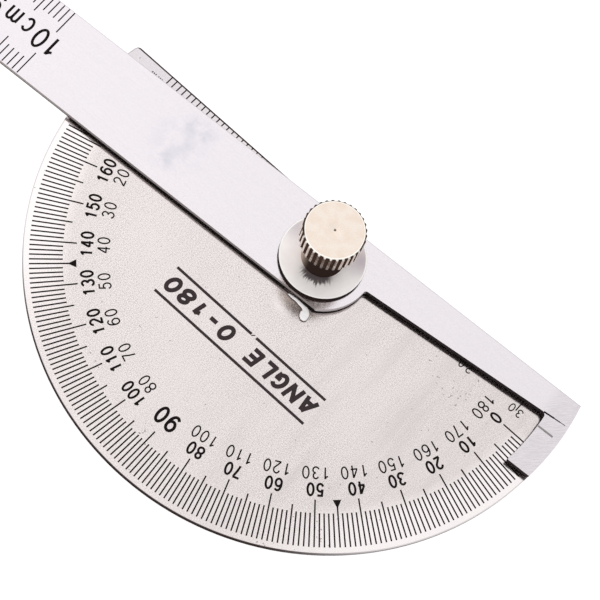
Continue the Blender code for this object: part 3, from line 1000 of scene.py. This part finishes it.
def knurled_knob(material):
    """Thumb nut with crisp straight knurling, in the place of the plain one."""
    low, high = KNOB_LOW.z, KNOB_HIGH.z
    head = KNOB_HIGH.x
    head_low = high - 4.1 * MM
    neck = 3.4 * MM
    bore_top = low + 8.6 * MM
    bore_tip = bore_top + 0.9 * MM
    soft = 0.15 * MM
    root = head - KNURL_DEPTH
    face = root - 0.02 * MM

    def knurled(radius, height, angle):
        if radius <= root or height < head_low:
            return radius
        phase = (angle * KNURL_COUNT / math.tau) % 1.0
        across = abs(phase - 0.5) * 2.0
        groove = min(1.0, max(0.0, (RIDGE_START - across) / RIDGE_FLANK))
        return min(radius, head - KNURL_DEPTH * groove)

    # The centre dot and the turned face.
    profile = [(0.0, high - 0.16 * MM), (0.10 * MM, high - 0.14 * MM), (0.20 * MM, high - 0.02 * MM)]
    profile += [(0.26 * MM, high), (1.5 * MM, high), (4.3 * MM, high), (face, high)]

    # The head's upper rim, its knurled side and its lower rim.
    profile += [(root, high - 0.02 * MM), (head - 0.12 * MM, high - 0.10 * MM), (head, high - 0.24 * MM)]
    profile += [(head, head_low + 2.0 * MM), (head, head_low + 0.22 * MM)]
    profile += [(head - 0.08 * MM, head_low + 0.08 * MM), (head - 0.26 * MM, head_low)]

    # The fillet under the head, the neck and the foot.
    profile += [(neck + soft, head_low)]
    profile += round_edge(neck + soft, head_low - soft, soft, 90, 180, 4)
    profile += [(neck, low + 0.04 * MM), (neck - 0.04 * MM, low)]

    # The blind bore.
    profile += [(BORE + 0.1 * MM, low), (BORE, low + 0.1 * MM), (BORE, bore_top), (0.0, bore_tip)]
    knob = lathe("clamp_knob_knurled", profile, KNURL_COUNT * KNURL_STEPS, knurled)
    knob.data.materials.append(material)
    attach(knob, "knob")
    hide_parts("clamp_knob")


def shim_disc(material):
    """Soft-edged nylon disc, in the place of the plain shim."""
    low, high = SHIM_LOW.z, SHIM_HIGH.z
    soft = 0.12 * MM
    profile = [(BORE, high), (SHIM_RADIUS - soft, high)]
    profile += round_edge(SHIM_RADIUS - soft, high - soft, soft, 90, 0, 3)
    profile += round_edge(SHIM_RADIUS - soft, low + soft, soft, 0, -90, 3) + [(BORE, low)]
    disc = lathe("friction_shim_disc", profile, SHIM_STEPS)
    disc.data.materials.append(material)
    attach(disc, "arm")
    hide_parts("friction_shim")


def shim_tongue(material):
    """Bent nylon tongue beside the arm's edge, a flattened round strip."""
    curve = bpy.data.curves.new("friction_shim_tongue", "CURVE")
    curve.dimensions = "3D"
    curve.bevel_depth = TONGUE_HALF_WIDTH
    curve.bevel_resolution = 3
    curve.resolution_u = 10
    curve.use_fill_caps = True
    spline = curve.splines.new("BEZIER")
    spline.bezier_points.add(len(TONGUE_ROUTE) - 1)
    for point, (u, v, spread) in zip(spline.bezier_points, TONGUE_ROUTE):
        place = on_arm(u * MM, v * MM)
        point.co = (place.x, place.y, 0.0)
        point.radius = spread
        point.handle_left_type = "AUTO"
        point.handle_right_type = "AUTO"
    tongue = bpy.data.objects.new("friction_shim_tongue", curve)
    tongue.scale.z = (SHIM_HIGH.z - SHIM_LOW.z) / (2.0 * TONGUE_FULL_SPREAD * curve.bevel_depth)
    tongue.location.z = (SHIM_LOW.z + SHIM_HIGH.z) / 2.0
    bpy.context.scene.collection.objects.link(tongue)
    curve.materials.append(material)
    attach(tongue, "arm")


# ---------------------------------------------------------------------------
# Stage
# ---------------------------------------------------------------------------

CAMERA_TARGET = Vector((-1.80, 6.84, 1.0)) * MM
CAMERA_DISTANCE = 265.72 * MM
CAMERA_AZIMUTH = math.radians(108.66)
CAMERA_ELEVATION = math.radians(68.96)
CAMERA_ROLL = math.radians(24.27)
CAMERA_LENS = 105.48
CAMERA_SENSOR = 36.0

# The table reaches this many metres each way, just below the plate.
TABLE_HALF = 1.5
TABLE_GAP = 0.02 * MM


def camera():
    """Camera above and behind the plate, rolled as the photograph was taken."""
    level = math.cos(CAMERA_ELEVATION)
    back = Vector((
        level * math.cos(CAMERA_AZIMUTH),
        level * math.sin(CAMERA_AZIMUTH),
        math.sin(CAMERA_ELEVATION),
    ))
    right = Vector((0.0, 0.0, 1.0)).cross(back).normalized()
    up = back.cross(right)
    turned_right = right * math.cos(CAMERA_ROLL) + up * math.sin(CAMERA_ROLL)
    turned_up = back.cross(turned_right)
    data = bpy.data.cameras.new("camera")
    data.lens = CAMERA_LENS
    data.sensor_width = CAMERA_SENSOR
    data.clip_start = 0.01
    data.clip_end = 20.0
    eye = bpy.data.objects.new("camera", data)
    turn = Matrix((turned_right, turned_up, back)).transposed().to_4x4()
    eye.matrix_world = Matrix.Translation(CAMERA_TARGET + back * CAMERA_DISTANCE) @ turn
    bpy.context.scene.collection.objects.link(eye)
    bpy.context.scene.camera = eye


def floor():
    """Plain pale table."""
    shape = bmesh.new()
    bmesh.ops.create_grid(shape, x_segments=1, y_segments=1, size=TABLE_HALF)
    mesh = bpy.data.meshes.new("table")
    shape.to_mesh(mesh)
    shape.free()
    table = bpy.data.objects.new("table", mesh)
    table.location.z = PLATE_LOW.z - TABLE_GAP
    bpy.context.scene.collection.objects.link(table)
    white = bpy.data.materials.new("table_white")
    white.use_nodes = True
    shader = white.node_tree.nodes["Principled BSDF"]
    shader.inputs["Base Color"].default_value = (0.5, 0.5, 0.5, 1.0)
    shader.inputs["Roughness"].default_value = 0.9
    shader.inputs["Specular IOR Level"].default_value = 0.0
    shader.inputs["Emission Color"].default_value = (1.0, 1.0, 1.0, 1.0)
    shader.inputs["Emission Strength"].default_value = 0.75
    mesh.materials.append(white)


def ramp(tree, value, kind, low, high, to_low, to_high):
    """Map a range of the surround's direction onto a range of brightness."""
    node = tree.nodes.new("ShaderNodeMapRange")
    node.interpolation_type = kind
    node.inputs["From Min"].default_value = low
    node.inputs["From Max"].default_value = high
    node.inputs["To Min"].default_value = to_low
    node.inputs["To Max"].default_value = to_high
    tree.links.new(value, node.inputs["Value"])
    return node.outputs["Result"]


def studio():
    """Even white surround, a little brighter to one side and darker near the horizon."""
    world = bpy.data.worlds.new("studio")
    world.use_nodes = True
    tree = world.node_tree
    background = tree.nodes["Background"]
    background.inputs["Color"].default_value = (1.0, 1.0, 1.0, 1.0)
    direction = tree.nodes.new("ShaderNodeTexCoord")
    split = tree.nodes.new("ShaderNodeSeparateXYZ")
    tree.links.new(direction.outputs["Generated"], split.inputs[0])
    side = ramp(tree, split.outputs[0], "LINEAR", -0.25, 0.35, 0.96, 1.18)
    height = ramp(tree, split.outputs[2], "SMOOTHSTEP", 0.05, 0.62, 0.45, 1.0)
    level = tree.nodes.new("ShaderNodeMath")
    level.operation = "MULTIPLY"
    tree.links.new(side, level.inputs[0])
    tree.links.new(height, level.inputs[1])
    tree.links.new(level.outputs["Value"], background.inputs["Strength"])
    bpy.context.scene.world = world
    bpy.context.scene.view_settings.view_transform = "Standard"


def coat(node, material):
    """Give a CAD node its finish."""
    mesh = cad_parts[node].data
    mesh.materials.clear()
    mesh.materials.append(material)


def main():
    """Dress the frame and set the stage."""
    camera()
    floor()
    studio()
    black = ink("etched_black", BLACK_INK)
    pale_grey = ink("etched_grey", PALE_INK)
    title_grey = ink("etched_title", TITLE_INK)
    nylon = shim_nylon()
    coat("head_plate", plate_steel())
    coat("arm_blade", arm_steel())
    coat("pivot_stud", stud_steel())
    polished_washer(washer_plating())
    knurled_knob(knob_plating())
    shim_disc(nylon)
    shim_tongue(nylon)
    degree_ring(black)
    degree_numbers(black)
    title(title_grey)
    edge_scale(black)
    blade_scale(black)
    pointer_marks(black, pale_grey)


main()
